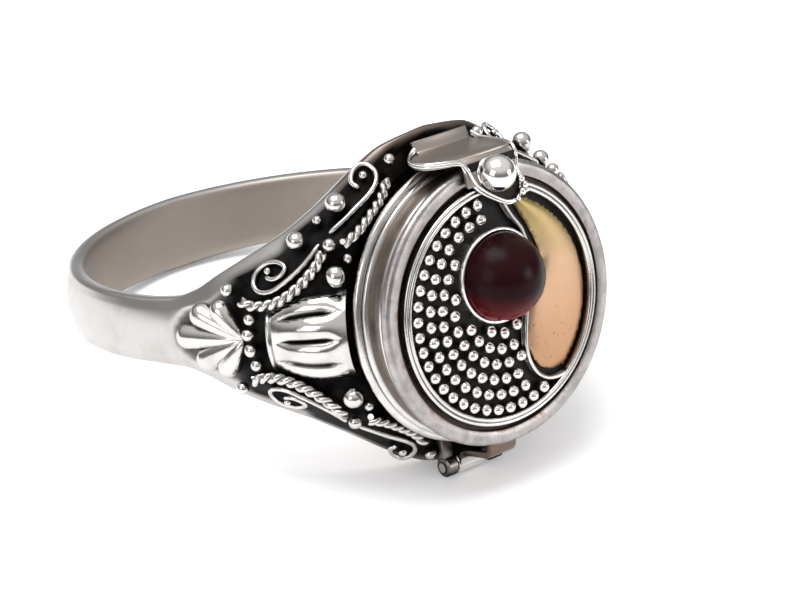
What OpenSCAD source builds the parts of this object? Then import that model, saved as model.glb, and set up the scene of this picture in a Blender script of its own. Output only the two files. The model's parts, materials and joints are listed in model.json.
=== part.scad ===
// Poison ring: a plain band widens into decorated shoulders that carry a round box.
// The box has a hinged lid with granulation, a gold crescent and a domed garnet.
// Drawing frame: x runs round the finger, y along the finger axis, z out through the lid.
// The module laid_down() then lays the finished ring on its side, as it rests by itself.

/* [Band] */
// Inside diameter, the ring size
finger_d = 18.2; // [17.8:0.1:18.4]
// Thickness of the band at its crown
band_t = 1.0; // [0.9:0.05:1.1]
// Width of the band at its sides
band_w = 2.8; // [2.7:0.05:3.0]
// Width of the band at the back
band_back_w = 3.25; // [3.0:0.05:3.4]

/* [Box] */
// Outside radius of the box wall
box_r = 5.5; // [5.45:0.05:5.55]
// Thickness of the box wall
wall_t = 0.5; // [0.4:0.05:0.7]
// Height of the box rim above the finger axis
rim_z = 12.72; // [12.66:0.02:12.74]
// Height of the compartment floor above the finger axis
floor_z = 10.25; // [10.1:0.05:10.5]

/* [Lid] */
// Outside radius of the lid
lid_r = 5.72; // [5.66:0.02:5.76]
// Outside radius of the wire ring round the picture field
wire_ring_r = 4.9; // [4.88:0.01:4.94]
// Diameter of one granule of the field
granule_d = 0.5; // [0.40:0.02:0.50]
// Distance between neighbouring granules
granule_pitch = 0.61; // [0.60:0.01:0.8]
// Thickness of the gold crescent
gold_t = 0.3; // [0.2:0.05:0.35]

/* [Stone] */
// Radius of the round stone
stone_r = 1.76; // [1.7:0.01:1.78]
// Height of the stone's dome above its girdle
dome_h = 1.7; // [1.4:0.05:1.75]
// Thickness of the bezel
bezel_t = 0.14; // [0.12:0.01:0.16]

/* [Hinge] */
// Radius of the hinge barrel
barrel_r = 0.42; // [0.40:0.01:0.46]
// Radius of the hinge pin
pin_r = 0.2; // [0.16:0.01:0.22]
// Running clearance round the pin
pin_gap = 0.03; // [0.02:0.01:0.06]

/* [Hidden] */
$fn = 64;

silver = "silver";
finger_r = finger_d / 2;
band_r = finger_r + band_t;
seat_gap = 0.02;              // soldered trim that is its own node sits this far off the metal

// Shank, from under the lid round to the back of the band. Lengths are from the finger axis.
// angle from the lid, half width of the plate, radius of its edge,
// half width of the face between the ropes, radius of the ridge, radius of the middle
shank_table = [
    [  0.0, 6.97, 9.95, 6.50, 10.05, 10.05],
    [  8.0, 6.80, 9.95, 6.15, 10.20, 10.25],
    [ 13.0, 6.62, 9.95, 5.75, 10.45, 10.50],
    [ 20.0, 5.95, 9.95, 4.70, 11.20, 11.25],
    [ 26.5, 5.15, 9.95, 3.60, 11.80, 12.05],
    [ 30.0, 4.72, 9.95, 3.15, 11.85, 12.00],
    [ 38.0, 3.85, 9.95, 2.20, 11.60, 11.65],
    [ 47.5, 3.05, 9.95, 1.60, 10.95, 11.05],
    [ 55.0, 2.40, 9.92, 1.45, 10.45, 10.60],
    [ 60.0, 1.88, 9.85, 1.25, 10.20, 10.35],
    [ 66.0, 1.50, 9.76, 1.00,  9.98, 10.14],
    [ 75.0, 1.40, 9.74, 0.95,  9.95, band_r],
    [105.0, band_w / 2, 9.72, 1.00, 9.94, band_r],
    [180.0, band_back_w / 2, 9.68, 1.05, 9.93, band_r]];
edge_half = 1;
edge_rad = 2;
ridge_half = 3;
ridge_rad = 4;
mid_rad = 5;
shank_step = 3;

function column(a, k) = lookup(abs(a), [for (row = shank_table) [row[0], row[k]]]);
function on_face(a, y) = abs(y) < column(a, ridge_half);
function skin_r(a, y) =
    let (h = column(a, ridge_half), m = column(a, mid_rad), r = column(a, ridge_rad))
    on_face(a, y) ? m + (r - m) * pow(y / h, 2)
    : r + (column(a, edge_rad) - r) * (abs(y) - h) / (column(a, edge_half) - h);
function polar(r, a, y) = [-r * sin(a), y, r * cos(a)];
function skin(a, y) = polar(skin_r(a, y), a, y);
function unit(v) = v / norm(v);
// outward normal, averaged over a small patch so that it turns smoothly over the ridge
function skin_normal(a, y, da = 0.8, dy = 0.2) =
    unit(cross(skin(a - da, y) - skin(a + da, y), skin(a, y + dy) - skin(a, y - dy)));
function above(a, y, lift) = skin(a, y) + lift * skin_normal(a, y);

// Catmull-Rom curve through hand-placed points
function curve_point(p, i, t) =
    let (n = len(p) - 1, a = p[max(i - 1, 0)], b = p[i], c = p[min(i + 1, n)], d = p[min(i + 2, n)])
    0.5 * (2 * b + (c - a) * t + (2 * a - 5 * b + 4 * c - d) * t * t
           + (3 * b - a - 3 * c + d) * t * t * t);
function curve(p, steps) =
    concat([for (i = [0:len(p) - 2], k = [0:steps - 1]) curve_point(p, i, k / steps)],
           [p[len(p) - 1]]);

// Faces of a closed tube made of equal rings of n points, with its two ends
function tube_faces(rings, n) =
    concat([[for (k = [n - 1:-1:0]) k]], [[for (k = [0:n - 1]) (rings - 1) * n + k]],
           [for (i = [0:rings - 2], k = [0:n - 1], half = [0, 1])
               let (a = i * n + k, b = i * n + (k + 1) % n, c = a + n, d = b + n)
               half == 0 ? [a, b, c] : [b, d, c]]);

// Closed tube of n sides along a line of points
module tube(path, r, n) {
    last = len(path) - 1;
    points = [for (i = [0:last])
        let (along = unit(path[min(i + 1, last)] - path[max(i - 1, 0)]),
             side = unit(cross(along, [path[i][0], 0, path[i][2]])),
             up = cross(side, along))
        for (k = [0:n - 1]) path[i] + r * (cos(360 * k / n) * side + sin(360 * k / n) * up)];
    polyhedron(points, tube_faces(len(path), n));
}

// Strip of constant width along a flat line, as an outline
function strip(p, w) =
    let (last = len(p) - 1,
         side = [for (i = [0:last])
             let (d = unit(p[min(i + 1, last)] - p[max(i - 1, 0)])) [-d[1], d[0]]])
    concat([for (i = [0:last]) p[i] + side[i] * w / 2],
           [for (i = [last:-1:0]) p[i] - side[i] * w / 2]);

// Hinge line: it runs along x below the box, outside the wall
hinge_y = -6.78;
hinge_z = 10.6;
// start and end of the three knuckles along x
ear_left = [-1.95, -1.42];
lid_knuckle = [-1.37, -0.02];
ear_right = [0.30, 0.95];

// Rest: the ring lies on its side on the hinge barrel and on the back edge of the band
back_y = -band_back_w / 2;
back_z = -column(180, edge_rad);
rise = hinge_y - back_y;
reach = hinge_z - back_z;
rest_tilt = atan2(-rise, reach) + asin(barrel_r / norm([rise, reach]));
lowest = hinge_y * cos(rest_tilt) + hinge_z * sin(rest_tilt) - barrel_r;

// Stone and its setting, in the plane of the lid
stone_x = 0;
stone_y = 1.18;
field_z = 13.0;
girdle_z = field_z + 0.55;
bezel_top = field_z + 0.45;
dome_r = (stone_r * stone_r + dome_h * dome_h) / (2 * dome_h);
dome_z = girdle_z + dome_h - dome_r;
front = stone_y * sin(rest_tilt) - dome_z * cos(rest_tilt) - dome_r;
back = max([for (part = [0, 0.5, 1]) let (w = part * column(180, ridge_half))
            skin_r(180, w) * cos(rest_tilt) + w * sin(rest_tilt)]);

module laid_down() {
    translate([0, -(front + back) / 2, -lowest]) rotate([90 - rest_tilt, 0, 0]) children();
}

module both_shoulders() {
    children();
    mirror([1, 0, 0]) children();
}

// Ring body

// Band, shoulders and the plate under the box: one closed loop of outlines
module shank() {
    inner = finger_r - 0.3;
    lean = 0.95;              // the sides lean in a little towards the finger hole
    angles = [for (a = [0:shank_step:360 - shank_step]) a > 180 ? a - 360 : a];
    function outline(a) =
        let (e = column(a, edge_half), h = column(a, ridge_half))
        concat([[inner, -lean * e], [inner, lean * e]],
               [for (y = [e, h, h / 2, 0, -h / 2, -h, -e]) [skin_r(a, y), y]]);
    n = len(outline(0));
    count = len(angles);
    points = [for (a = angles) for (p = outline(a)) polar(p[0], a, p[1])];
    faces = [for (i = [0:count - 1], k = [0:n - 1], half = [0, 1])
        let (i2 = (i + 1) % count, k2 = (k + 1) % n,
             a = i * n + k, b = i * n + k2, c = i2 * n + k, d = i2 * n + k2)
        half == 0 ? [a, b, c] : [b, d, c]];
    polyhedron(points, faces);
}

// Fan of five convex lobes where the band ends
// turn of each lobe, its length and its radius
shell_lobes = [[0, 3.3, 0.52], [25, 2.6, 0.48], [-25, 2.6, 0.48], [50, 1.9, 0.44], [-50, 1.9, 0.44]];
shell_apex = 48.8;
shell_slope = 73;
module shell_lobe(len, r) {
    point_r = 0.2;
    sides = 16;
    // height along the lobe and radius of each section
    sections = concat([for (a = [-80:20:0]) [r * sin(a), r * cos(a)]],
                      [[(len - r) / 2, (r + point_r) / 2 + 0.04], [len - r, point_r]]);
    points = [for (p = sections, k = [0:sides - 1])
        let (a = 360 * (k + 0.37) / sides) [p[1] * cos(a), -p[1] * sin(a), p[0]]];
    polyhedron(points, tube_faces(len(sections), sides));
}
module shell() {
    for (l = shell_lobes)
        translate(above(shell_apex, 0, -0.1)) rotate([0, -shell_slope, 0]) rotate([0, 0, l[0]])
            translate([l[2] - l[1], 0, 0]) rotate([-90, 0, -90]) shell_lobe(l[1], l[2]);
}

// Ribbed half barrel in the middle of the shoulder, widest near the box; the ribs run along it
module ribbed_barrel() {
    ends = [-1.55, 1.65];
    widest_r = 2.08;
    widest_at = 0.55;
    bulge = 0.165;
    groove = 0.12;
    groove_turn = 4;
    rib_angle = 360 / 11;
    steps = 4;
    sides = 6 * steps + 1;
    rings = 8;
    mid_angle = 35;
    slope = 47;
    points = [for (i = [0:rings - 1])
        let (w = ends[0] + (ends[1] - ends[0]) * i / (rings - 1),
             r = widest_r - bulge * pow(w - widest_at, 2))
        for (k = [0:sides - 1])
            let (a = rib_angle * (k / steps - 3), rib_r = r - groove * (1 - abs(sin(180 * k / steps))))
            [rib_r * cos(a), -rib_r * sin(a), w]];
    translate(above(mid_angle, 0, -1)) rotate([0, 90 - slope, 0]) rotate([0, 0, 180 - groove_turn])
        polyhedron(points, tube_faces(rings, sides));
}

module base_wires() {
    // height, radius of the ring, radius of the wire
    for (w = [[11.36, 5.62, 0.23], [11.72, 5.50, 0.14]])
        translate([0, 0, w[0]]) rotate_extrude($fn = 120) translate([w[1], 0]) circle(r = w[2], $fn = 24);
}

module ear(span) {
    translate([span[0], hinge_y, hinge_z]) rotate([0, 90, 0])
        cylinder(h = span[1] - span[0], r = barrel_r, $fn = 48);
    translate([span[0], hinge_y, floor_z - 0.6])
        cube([span[1] - span[0], -hinge_y - box_r + wall_t, hinge_z - floor_z + 0.5]);
}

module ring_body() {
    color(silver) laid_down() difference() {
        union() {
            shank();
            both_shoulders() {
                shell();
                ribbed_barrel();
            }
            translate([0, 0, finger_r - 2]) cylinder(h = rim_z - finger_r + 2, r = box_r, $fn = 120);
            base_wires();
            ear(ear_left);
            ear(ear_right);
        }
        rotate([90, 0, 0]) cylinder(h = 30, r = finger_r, center = true, $fn = 180);
        translate([0, 0, floor_z]) cylinder(h = 5, r = box_r - wall_t, $fn = 120);
        translate([-5, hinge_y, hinge_z]) rotate([0, 90, 0]) cylinder(h = 10, r = pin_r + pin_gap, $fn = 32);
    }
}

// Soldered trim of the shoulders. Points are [angle, y] on the skin.

rope_r = 0.2;
rope_paths = [
    [[47.3, 1.57], [45, 1.46], [42.5, 1.47], [40, 1.60], [37.5, 1.87], [34.5, 2.33], [31.5, 2.88],
     [29.9, 3.22]],
    [[26.4, 3.52], [23.5, 3.90], [20, 4.42], [17, 4.92], [14.8, 5.40]]];
module rope_wires() {
    color(silver) laid_down() both_shoulders() for (side = [-1, 1], path = rope_paths)
        tube([for (p = curve(path, 2)) above(p[0], side * p[1], rope_r + seat_gap + 0.05)], rope_r, 8);
}

scroll_r = 0.10;
scroll_paths = [
    [[30.3, 3.50], [32.7, 3.04], [35.1, 2.66], [38.1, 2.26], [40.9, 1.98], [43.2, 1.93], [44.5, 2.13],
     [44.0, 2.50], [42.0, 2.80], [39.4, 2.90], [37.6, 2.76], [38.4, 2.50], [40.2, 2.34], [41.8, 2.40]],
    [[27.9, 3.86], [24.9, 4.23], [22.0, 4.60], [18.8, 5.00], [16.6, 5.35], [15.8, 5.70], [16.7, 5.98],
     [18.4, 6.00], [20.2, 5.75], [20.9, 5.45], [20.0, 5.25]]];
module scroll_wires() {
    color(silver) laid_down() both_shoulders() for (side = [-1, 1], path = scroll_paths)
        tube([for (p = curve(path, 2)) above(p[0], side * p[1], scroll_r + seat_gap + 0.03)], scroll_r, 6);
}

// angle, y, radius of each bead on both halves of a shoulder
bead_table = [
    [50.3, 1.88, 0.27], [45.9, 0.93, 0.24], [46.6, 0.32, 0.26],
    [28.3, 3.45, 0.27], [26.3, 3.00, 0.20], [28.8, 2.45, 0.42],
    [41.2, 2.58, 0.15], [18.4, 5.62, 0.17], [12.3, 6.00, 0.24]];
// and of those that only the upper half has, at the edge of the plate
upper_beads = [[24.9, 4.68, 0.42], [34.0, 3.50, 0.38], [29.4, 4.22, 0.20]];
module bead(angle, y, r) {
    translate(above(angle, y, r + seat_gap + 0.02)) sphere(r = r, $fn = 24);
}
module shoulder_beads() {
    color(silver) laid_down() both_shoulders() {
        for (side = [-1, 1], b = bead_table) bead(b[0], side * b[1], b[2]);
        for (b = upper_beads) bead(b[0], b[1], b[2]);
    }
}

// Lid

lid_under = rim_z + 0.08;
lid_top = 13.25;
wire_ring_w = 0.34;
wire_ring_top = 13.41;
divider_w = 0.16;
divider_top = 13.36;
// dividing wire: points [x, y] in the plane of the lid, above and below the stone
divider_above = [[0.62, 4.35], [0.80, 3.85], [1.06, 3.35], [1.45, 2.75], [1.66, 2.08]];
divider_below = [[1.31, -0.17], [1.15, -1.00], [1.02, -1.60], [0.98, -2.15], [1.08, -2.75], [1.38, -3.30],
                 [1.86, -3.65], [2.40, -3.75], [2.92, -3.65], [3.30, -3.35]];

module dividers() {
    for (path = [divider_above, divider_below])
        translate([0, 0, field_z - 0.1]) linear_extrude(divider_top - field_z + 0.1)
            polygon(strip(curve(path, 3), divider_w));
}

module lid_plate() {
    edge_r = 0.2;
    translate([0, 0, lid_under]) cylinder(h = field_z - lid_under, r = lid_r - 0.15, $fn = 120);
    // rounded flange
    rotate_extrude($fn = 120) {
        translate([wire_ring_r - 0.1, lid_under])
            square([lid_r - edge_r - wire_ring_r + 0.1, lid_top - lid_under]);
        translate([lid_r - edge_r, lid_under]) square([edge_r, lid_top - lid_under - edge_r]);
        translate([lid_r - edge_r, lid_top - edge_r]) circle(r = edge_r, $fn = 32);
    }
    // wire ring
    rotate_extrude($fn = 120) {
        translate([wire_ring_r - wire_ring_w, field_z - 0.05])
            square([wire_ring_w, wire_ring_top - field_z + 0.05 - wire_ring_w / 2]);
        translate([wire_ring_r - wire_ring_w / 2, wire_ring_top - wire_ring_w / 2])
            circle(r = wire_ring_w / 2, $fn = 32);
    }
}

module bezel() {
    difference() {
        translate([stone_x, stone_y, field_z - 0.05])
            cylinder(h = bezel_top + 0.05 - field_z, r = stone_r + bezel_t + seat_gap, $fn = 64);
        translate([stone_x, stone_y, field_z + 0.1])
            cylinder(h = 3, r = stone_r + seat_gap, $fn = 64);
    }
}

// Tongue: a leaf on the lid that bends down over the rim, widens and flares out at its foot
tongue_t = 0.26;
tongue_y = 6.08;
// line of the sheet over the rim, and of the lip at its foot, as [y, z]
tongue_top = [[5.0, 13.50], [5.5, 13.50], [5.88, 13.42], [6.05, 13.15], [6.08, 12.85]];
tongue_lip = [[6.08, 11.5], [6.09, 11.15], [6.18, 10.92], [6.40, 10.80], [6.65, 10.72]];
top_x = [-1.14, 1.42];
lip_x = [-1.4, 1.35];
// outline of the upright panel, as [x, z]
panel_edge = [[-1.40, 10.95], [-1.80, 11.20], [-2.30, 11.75], [-2.45, 12.30], [-2.30, 12.80], [-1.80, 13.15],
              [-1.20, 13.28], [1.42, 13.28], [1.58, 12.70], [1.60, 12.00], [1.50, 11.40], [1.35, 10.95]];
leaf_edge = [[-1.14, 5.95], [-0.95, 5.55], [-0.72, 5.15], [-0.34, 4.72], [0.14, 4.36], [0.60, 4.08],
             [0.95, 3.98], [1.30, 4.10], [1.48, 4.50], [1.46, 4.95], [1.38, 5.40], [1.42, 5.95]];
ball_r = 0.72;
ball_at = [-0.05, 5.45, 14.2];
module bent_sheet(line, x, t) {
    translate([x[0], 0, 0]) rotate([90, 0, 90])
        linear_extrude(x[1] - x[0]) polygon(strip(curve(line, 3), t));
}
module tongue() {
    bent_sheet(tongue_top, top_x, tongue_t);
    bent_sheet(tongue_lip, lip_x, tongue_t);
    translate([0, tongue_y + tongue_t / 2, 0]) rotate([90, 0, 0])
        linear_extrude(tongue_t) polygon(curve(panel_edge, 2));
    translate([0, 0, wire_ring_top - 0.05]) linear_extrude(tongue_t) polygon(curve(leaf_edge, 2));
    translate(ball_at) sphere(r = ball_r, $fn = 48);
}

module lid_hinge() {
    leaf_t = 0.3;
    leaf_line = [[-5.2, 13.0], [-5.75, 13.0], [-6.02, 12.8], [-6.10, 12.3], [-6.15, 11.75], [-6.24, 11.35],
                 [-6.45, 11.02], [-6.78, 10.88]];
    translate([lid_knuckle[0], hinge_y, hinge_z]) rotate([0, 90, 0])
        cylinder(h = lid_knuckle[1] - lid_knuckle[0], r = barrel_r, $fn = 48);
    bent_sheet(leaf_line, lid_knuckle, leaf_t);
}

module lid() {
    color(silver) laid_down() difference() {
        union() {
            lid_plate();
            dividers();
            bezel();
            tongue();
            lid_hinge();
        }
        translate([-5, hinge_y, hinge_z]) rotate([0, 90, 0]) cylinder(h = 10, r = pin_r + pin_gap, $fn = 32);
    }
}

// Granules left of the dividing wire, in arcs that follow the rim
granule_rows = 6;
outer_row_r = 4.24;
row_start = 98;
row_end = 300;
field_gap = 0.05;
divider_points = curve(divider_below, 3);
function row_points(r) =
    let (step = 2 * asin(granule_pitch / 2 / r), count = floor((row_end - row_start) / step))
    [for (i = [0:count]) let (a = row_start + i * (row_end - row_start) / count) r * [cos(a), sin(a)]];
function clear_of_stone(p) =
    norm(p - [stone_x, stone_y]) > stone_r + bezel_t + seat_gap + granule_d / 2 + field_gap;
function left_of_divider(p) =
    p[0] < lookup(-p[1], [for (q = divider_below) [-q[1], q[0]]])
    && min([for (q = divider_points) norm(p - q)]) > (divider_w + granule_d) / 2 + field_gap;
module lid_granules() {
    places = [for (i = [0:granule_rows - 1]) for (p = row_points(outer_row_r - i * granule_pitch)) p];
    color(silver) laid_down() for (p = places) if (clear_of_stone(p) && left_of_divider(p))
        translate([p[0], p[1], field_z + granule_d / 2 + seat_gap]) sphere(d = granule_d, $fn = 16);
}

// Gold crescent: an arc outside, the dividing wire and the setting inside
gold_arc_r = 4.36;
gold_arc_at = [0.06, -0.1];
gold_inner = [[1.28, 3.95], [1.55, 3.35], [1.95, 2.60], [2.25, 1.90], [2.40, 1.00], [1.95, 0.10],
              [1.52, -0.50], [1.32, -1.10], [1.22, -1.80], [1.28, -2.45], [1.60, -3.05], [2.15, -3.38],
              [2.80, -3.36]];
module gold_crescent() {
    start = 70;
    finish = -50;
    arc = [for (a = [finish:5:start]) gold_arc_at + gold_arc_r * [cos(a), sin(a)]];
    color("goldenrod") laid_down() translate([0, 0, field_z + seat_gap])
        linear_extrude(gold_t) polygon(concat(curve(gold_inner, 2), arc));
}

module garnet() {
    color("darkred") laid_down() translate([stone_x, stone_y, 0]) {
        translate([0, 0, field_z + 0.12]) cylinder(h = girdle_z - field_z - 0.12, r = stone_r, $fn = 64);
        intersection() {
            translate([0, 0, dome_z]) sphere(r = dome_r, $fn = 96);
            translate([0, 0, girdle_z - 0.1]) cylinder(h = 3, r = stone_r, $fn = 64);
        }
    }
}

module hinge_pin() {
    color("gray") laid_down() translate([ear_left[0] - 0.05, hinge_y, hinge_z]) rotate([0, 90, 0])
        cylinder(h = ear_right[1] - ear_left[0] + 0.1, r = pin_r, $fn = 32);
}

ring_body();
rope_wires();
scroll_wires();
shoulder_beads();
lid();
lid_granules();
gold_crescent();
garnet();
hinge_pin();
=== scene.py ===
# %% [markdown]
# # A silver poison ring, piece by piece
# The ring lies on its side. A plain band widens into two decorated shoulders, which carry a round box
# with a hinged lid. Each piece is drawn in the ring's own frame: x runs across the ring, y along the
# finger and z out through the lid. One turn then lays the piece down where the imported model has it.

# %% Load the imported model
import json
import math
from functools import partialmethod

import bpy
from mathutils import Matrix, Vector


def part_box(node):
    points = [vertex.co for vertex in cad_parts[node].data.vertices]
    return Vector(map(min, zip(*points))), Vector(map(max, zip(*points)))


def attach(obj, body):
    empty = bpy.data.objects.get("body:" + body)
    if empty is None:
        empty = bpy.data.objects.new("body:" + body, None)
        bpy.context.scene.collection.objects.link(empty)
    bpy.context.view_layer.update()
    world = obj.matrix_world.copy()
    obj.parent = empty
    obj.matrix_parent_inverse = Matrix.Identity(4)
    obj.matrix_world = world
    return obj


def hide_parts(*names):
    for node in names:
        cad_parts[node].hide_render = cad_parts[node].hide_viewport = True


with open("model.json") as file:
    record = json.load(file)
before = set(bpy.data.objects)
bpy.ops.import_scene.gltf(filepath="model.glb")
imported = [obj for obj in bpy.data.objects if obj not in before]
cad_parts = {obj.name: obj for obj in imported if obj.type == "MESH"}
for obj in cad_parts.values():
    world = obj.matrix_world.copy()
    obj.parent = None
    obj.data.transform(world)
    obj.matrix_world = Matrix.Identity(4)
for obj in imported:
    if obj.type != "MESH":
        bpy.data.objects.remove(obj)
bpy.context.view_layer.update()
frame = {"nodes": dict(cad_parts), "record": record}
print("packed nodes:", sorted(frame["nodes"]))

# %% [markdown]
# The record's finger hole gives the ring's axis and centre, so nothing has to be fitted by eye. Lengths
# below are written in millimetres, as a jeweller would, and become metres when a piece is laid down.

# %% The ring's own frame
MM = 0.001
hole = frame["record"]["mounts"][0]
FINGER_R = hole["dims"]["r_mm"]
TILT = math.atan2(hole["axis"][1], hole["axis"][2])
LAY = (Matrix.Translation(Vector(hole["pos_m"])) @ Matrix.Rotation(math.pi / 2 - TILT, 4, "X")
       @ Matrix.Scale(MM, 4))
STAND = LAY.inverted()
print("the ring leans", round(math.degrees(TILT), 2), "degrees")

# %% [markdown]
# Operators act on all that is selected, and a newly loaded model is selected, so everything is
# deselected first. These small helpers begin and finish a piece. Merging joins points less than a
# ten-thousandth of a millimetre apart.

# %% Begin and finish a piece
scene = bpy.context.scene
SAME_PLACE = 1e-4


def add_object(name, data):
    """A new object in the scene."""
    piece = bpy.data.objects.new(name, data)
    scene.collection.objects.link(piece)
    return piece


def deselect():
    """Nothing is selected or being edited afterwards."""
    if bpy.context.object and bpy.context.object.mode != "OBJECT":
        bpy.ops.object.mode_set(mode="OBJECT")
    bpy.ops.object.select_all(action="DESELECT")


def work_on(piece):
    """Only this piece is selected and active."""
    deselect()
    piece.select_set(True)
    bpy.context.view_layer.objects.active = piece


def edit(piece):
    """Opens a piece in edit mode with all of it selected."""
    work_on(piece)
    bpy.ops.object.mode_set(mode="EDIT")
    bpy.ops.mesh.select_all(action="SELECT")


def done():
    """Leaves edit mode."""
    bpy.ops.object.mode_set(mode="OBJECT")


def outward():
    """Turns all faces of the edited piece outward and leaves edit mode."""
    bpy.ops.mesh.select_all(action="SELECT")
    bpy.ops.mesh.normals_make_consistent(inside=False)
    done()


def apply(piece, kind, **settings):
    """Adds a modifier with these settings and applies it."""
    work_on(piece)
    modifier = piece.modifiers.new(kind, kind)
    for key, value in settings.items():
        setattr(modifier, key, value)
    bpy.ops.object.modifier_apply(modifier=modifier.name)


def join(name, pieces):
    """Several meshes become one."""
    work_on(pieces[0])
    for piece in pieces:
        piece.select_set(True)
    if len(pieces) > 1:
        bpy.ops.object.join()
    pieces[0].name = name
    pieces[0].data.name = name
    return pieces[0]


MIRROR = Matrix.Scale(-1, 4, Vector((1, 0, 0)))


def turn_over(piece):
    """Flips the faces of a mirrored piece, so that they look outward again."""
    edit(piece)
    bpy.ops.mesh.flip_normals()
    done()


def mirrored(piece):
    """A copy of a piece on the other side of the ring."""
    work_on(piece)
    bpy.ops.object.duplicate()
    twin = bpy.context.object
    twin.data.transform(MIRROR)
    turn_over(twin)
    return twin


def left_and_right(name, pieces):
    """Pieces joined into one for the left shoulder, and its mirror copy for the right."""
    left = join(name + "_left", pieces)
    right = mirrored(left)
    right.name = name + "_right"
    return left, right


def on_both_sides(name, pieces):
    """Pieces and their mirror copies joined into one."""
    one_side = join(name, pieces)
    return join(name, [one_side, mirrored(one_side)])


# body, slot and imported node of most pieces
RING = ("ring", "silver", ["ring_body"])
LID = ("lid", "silver", ["lid"])


def finish(piece, material, body, slot, stands_for, smooth=40):
    """Lays the piece down in metres, gives it its finish and lets it ride."""
    piece.data.transform(LAY)
    work_on(piece)
    bpy.ops.object.shade_smooth_by_angle(angle=math.radians(smooth))
    piece.data.materials.clear()
    piece.data.materials.append(material)
    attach(piece, body)
    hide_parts(*stands_for)
    print(piece.name, len(piece.data.polygons), "faces")


def from_points(name, points, edges=(), faces=()):
    """A mesh from given points, ready to be spun or extruded."""
    mesh = bpy.data.meshes.new(name)
    mesh.from_pydata([tuple(p) for p in points], list(edges), list(faces))
    return add_object(name, mesh)


def sheet(name, outline, z, thick):
    """An outline filled at height z and extruded upward. It stays in edit mode."""
    piece = from_points(name, [(p.x, p.y, z) for p in outline], (), [tuple(range(len(outline)))])
    edit(piece)
    bpy.ops.mesh.extrude_region_move(TRANSFORM_OT_translate={"value": (0, 0, thick)})
    return piece


# %% [markdown]
# A round piece is turned, as on a lathe: its outline is drawn as a chain of points (radius, height) and
# spun round the axis. An outline that closes on the axis starts a hair off it. Short arcs at its corners
# give the small highlights that sell cast silver.

# %% Turn a piece on the lathe
NEAR_AXIS = 0.001


def turned(name, outline, at=(0, 0), steps=96, closed=False):
    """Spins an outline of (radius, height) points round an upright axis at the place given."""
    n = len(outline)
    edges = [(i, i + 1) for i in range(n - 1)] + ([(n - 1, 0)] if closed else [])
    piece = from_points(name, [(at[0] + r, at[1], z) for r, z in outline], edges)
    edit(piece)
    bpy.ops.mesh.spin(steps=steps, angle=2 * math.pi, center=(at[0], at[1], 0), axis=(0, 0, 1))
    bpy.ops.mesh.select_all(action="SELECT")
    bpy.ops.mesh.remove_doubles(threshold=SAME_PLACE)
    outward()
    return piece


def arc(cx, cz, r, first, last, steps=8):
    """Points along an arc of an outline, angles in degrees."""
    angles = [math.radians(first + (last - first) * i / steps) for i in range(steps + 1)]
    return [(cx + r * math.cos(a), cz + r * math.sin(a)) for a in angles]


# %% [markdown]
# Beads, granules, the drops of the shells and the ball of the tongue all start as the same sphere.

# %% A ball
def sphere(r, segments, rings, place=(0, 0, 0)):
    """A ball of radius r at the place given."""
    deselect()
    bpy.ops.mesh.primitive_uv_sphere_add(segments=segments, ring_count=rings, radius=r, location=place)
    bpy.ops.object.transform_apply(location=True, rotation=True, scale=True)
    return bpy.context.object


# %% [markdown]
# Rings of points with the same number each are skinned over with quads. The second list holds a value for
# each point, which the finishes read as the blackened ground.

# %% Skin rings of points
def skinned(name, rings, ground, loop=False):
    """A skin over rings of points, as a closed loop of rings or with flat ends."""
    n, total = len(rings[0]), len(rings)
    pairs = [(i, (i + 1) % total) for i in range(total if loop else total - 1)]
    faces = [(i * n + k, i * n + (k + 1) % n, j * n + (k + 1) % n, j * n + k)
             for i, j in pairs for k in range(n)]
    if not loop:
        faces += [tuple(range(n - 1, -1, -1)), tuple((total - 1) * n + k for k in range(n))]
    piece = from_points(name, [p for ring in rings for p in ring], (), faces)
    piece.data.attributes.new("ground", "FLOAT", "POINT").data.foreach_set("value", ground)
    edit(piece)
    outward()
    return piece


# %% [markdown]
# Wires are drawn curves with a round section. The same smooth curve through listed points serves
# the scrolls, the ropes and the dividing wires.

# %% Bend a wire
# a thinned wire's width at its tip, and what it gains at each next point
TIP = 0.55
TAPER = 0.25


def smooth_line(points, steps):
    """A Catmull-Rom curve through the points."""
    p = [Vector(v) for v in points]
    last = len(p) - 1
    line = []
    for i in range(last):
        a, b, c, d = p[max(i - 1, 0)], p[i], p[i + 1], p[min(i + 2, last)]
        for k in range(steps):
            t = k / steps
            line.append(0.5 * (2 * b + (c - a) * t + (2 * a - 5 * b + 4 * c - d) * t * t
                               + (3 * b - a - 3 * c + d) * t ** 3))
    return line + [p[last]]


def flat_line(points):
    """A smooth line through flat points."""
    return [p.xy for p in smooth_line([(x, y, 0) for x, y in points], 4)]


def wire(name, line, r, thin_ends=False):
    """A round wire of radius r along a line of points, as a mesh with closed ends."""
    curve = bpy.data.curves.new(name, "CURVE")
    curve.dimensions = "3D"
    curve.bevel_depth = r
    curve.bevel_resolution = 3
    curve.use_fill_caps = True
    spline = curve.splines.new("POLY")
    spline.points.add(len(line) - 1)
    for i, (point, place) in enumerate(zip(spline.points, line)):
        point.co = (*place, 1)
        end = min(i, len(line) - 1 - i)
        point.radius = min(1, TIP + TAPER * end) if thin_ends else 1
    work_on(add_object(name, curve))
    bpy.ops.object.convert(target="MESH")
    return bpy.context.object


# %% [markdown]
# ## Finishes
# Shader maths is written as plain expressions. `Value` wraps a socket, so `1 - mask * 0.5` adds the Math
# nodes by itself, and `Finish` wraps a material, or the room, and makes every other node.

# %% Shader maths as expressions
materials = bpy.data.materials


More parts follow.
